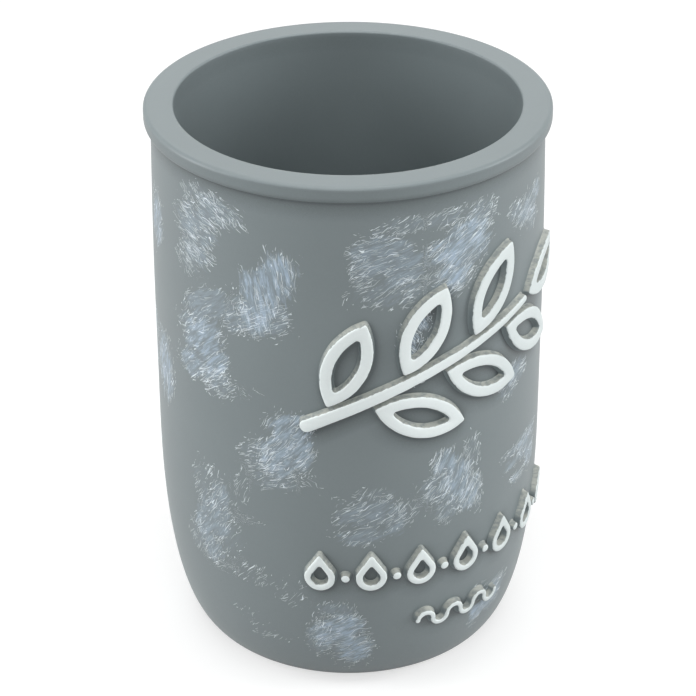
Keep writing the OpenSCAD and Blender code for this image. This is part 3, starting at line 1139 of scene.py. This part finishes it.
def makeWave():
    size = wave["radius"]
    middle = drops["rowHeight"] - wave["gap"] - size - wave["line"] / 2
    bend = math.pi * size                             # length of one half ring

    def bendAt(along):
        index = min(max(int(along // bend), 0), wave["bends"] - 1)
        return index, along / size - index * math.pi, 1 if index % 2 == 0 else -1

    def wavePlace(along):
        index, turn, side = bendAt(along)
        centre = (2 * index - wave["bends"] + 1) * size
        return Vector((centre - size * math.cos(turn), middle + side * size * math.sin(turn), 0))

    def waveDirection(along):
        index, turn, side = bendAt(along)
        return side * (90 - math.degrees(turn))

    def waveHalfWidth(along):
        return wave["line"] / 2

    bm = bmesh.new()
    stop = bend * wave["bends"]
    outline = lineOutline(0, stop, wavePlace, waveDirection, waveHalfWidth, wave["capShare"])
    raiseSolid(bm, wave["points"], outline)
    makeRelief("waveLine", "wave_line", bm, wave["seed"])


makeSprig()
print("sprig made")
makeDrops()
makeWave()
print("drops, beads and wave made")


# floor: white to the camera, but it keeps the cup's shadow. Past the lamps it needs more lift to stay white:
# the lift's range goes from one distance to another, in metres, then gives the lift at each
stageLook = {
    "size": 3.0,
    "patches": (3, 2),
    "darkest": 0.45,
    "lightest": 0.49,
    "roughness": 0.9,
    "lift": (0.3, 0.9, 0.60, 1.2),
}


def seenDirectly(tree):
    rays = putNode(tree, "ShaderNodeLightPath")
    straight = calc(tree, "MAXIMUM", rays.outputs["Is Camera Ray"], rays.outputs["Is Transmission Ray"])
    return calc(tree, "MAXIMUM", straight, rays.outputs["Is Glossy Ray"])


def makeFloor():
    bm = bmesh.new()
    bmesh.ops.create_grid(bm, x_segments=2, y_segments=2, size=stageLook["size"] / mm)
    material, tree, shader, place = newMaterial("floorPaper")
    patches = cloudy(tree, place, *stageLook["patches"])
    tone = fade(tree, patches, 0.0, 1.0, stageLook["darkest"], stageLook["lightest"])
    color = putNode(tree, "ShaderNodeCombineColor")
    for socket in color.inputs[:3]:
        feed(tree, socket, tone)
    tree.links.new(color.outputs[0], shader.inputs["Base Color"])
    shader.inputs["Roughness"].default_value = stageLook["roughness"]
    shader.inputs["Specular IOR Level"].default_value = 0.0
    shader.inputs["Emission Color"].default_value = (1, 1, 1, 1)
    away = putNode(tree, "ShaderNodeVectorMath", operation="LENGTH")
    feed(tree, away.inputs[0], place)
    lift = fade(tree, away.outputs["Value"], *stageLook["lift"])
    tree.links.new(times(tree, seenDirectly(tree), lift), shader.inputs["Emission Strength"])
    # the underside is clear, so that a view from below sees the cup's foot
    clear = putNode(tree, "ShaderNodeBsdfTransparent")
    mixed = putNode(tree, "ShaderNodeMixShader")
    facing = putNode(tree, "ShaderNodeNewGeometry").outputs["Backfacing"]
    tree.links.new(facing, mixed.inputs[0])
    tree.links.new(shader.outputs[0], mixed.inputs[1])
    tree.links.new(clear.outputs[0], mixed.inputs[2])
    tree.links.new(mixed.outputs[0], tree.nodes["Material Output"].inputs["Surface"])
    floor = makeObject("floor", bm, material)


makeFloor()

# the photograph's view, 36 degrees round to the left of the ornament's middle and 29 degrees down
view = {
    "around": -36,
    "distance": 0.4397,
    "height": 0.3053,
    "down": 29.42,
    "turn": 0.02,
    "roll": -0.21,
    "lens": 134.6,
    "sensor": 36,
    "clip": (0.01, 20),
}

# soft studio light, most of it from the sides and from above:
# degrees round from the camera's side, distance, height and size in metres, watts and colour
lamps = {
    "left": (-90, 1.12, 0.45, (0.5, 0.9), 9.1, (0.99, 1, 1)),
    "right": (90, 1.12, 0.45, (0.5, 0.9), 9.0, (0.99, 1, 1)),
    "front": (0, 0.95, 0.65, (0.6, 0.9), 5.5, (0.98, 1, 1)),
    "back": (180, 0.95, 0.65, (0.6, 0.9), 1.0, (1, 0.99, 0.97)),
    "top": (0, 0.02, 1.25, (1.0, 1.0), 10.3, (1, 1, 0.99)),
}
lampAim = Vector((0, 0, 0.05))


def makeLamps():
    for name, (turn, reach, height, size, watts, color) in lamps.items():
        data = bpy.data.lights.new(name, "AREA")
        data.shape = "RECTANGLE"
        data.size, data.size_y = size
        data.energy = watts
        data.color = color
        around = math.radians(view["around"] + turn)
        place = Vector((math.sin(around) * reach, -math.cos(around) * reach, height))
        lamp = bpy.data.objects.new(name, data)
        lamp.location = place
        lamp.rotation_euler = (lampAim - place).to_track_quat("-Z", "Y").to_euler()
        bpy.context.scene.collection.objects.link(lamp)


def makeWorld():
    world = bpy.data.worlds.new("studio")
    bpy.context.scene.world = world
    world.use_nodes = True
    tree = world.node_tree
    background = tree.nodes["Background"]
    background.inputs["Color"].default_value = (1, 1, 1, 1)
    tree.links.new(seenDirectly(tree), background.inputs["Strength"])


makeLamps()
makeWorld()


def makeCamera():
    data = bpy.data.cameras.new("camera")
    camera = bpy.data.objects.new("camera", data)
    data.lens = view["lens"]
    data.sensor_width = view["sensor"]
    data.clip_start, data.clip_end = view["clip"]
    around = math.radians(view["around"])
    right, back = math.sin(around) * view["distance"], -math.cos(around) * view["distance"]
    camera.location = (right, back, view["height"])
    aim = Euler((math.radians(90 - view["down"]), 0, around + math.radians(view["turn"]))).to_matrix()
    camera.rotation_euler = (aim @ Matrix.Rotation(math.radians(view["roll"]), 3, "Z")).to_euler()
    bpy.context.scene.collection.objects.link(camera)
    bpy.context.scene.camera = camera


makeCamera()
bpy.context.scene.view_settings.view_transform = "Standard"
print("stage, light and camera made")
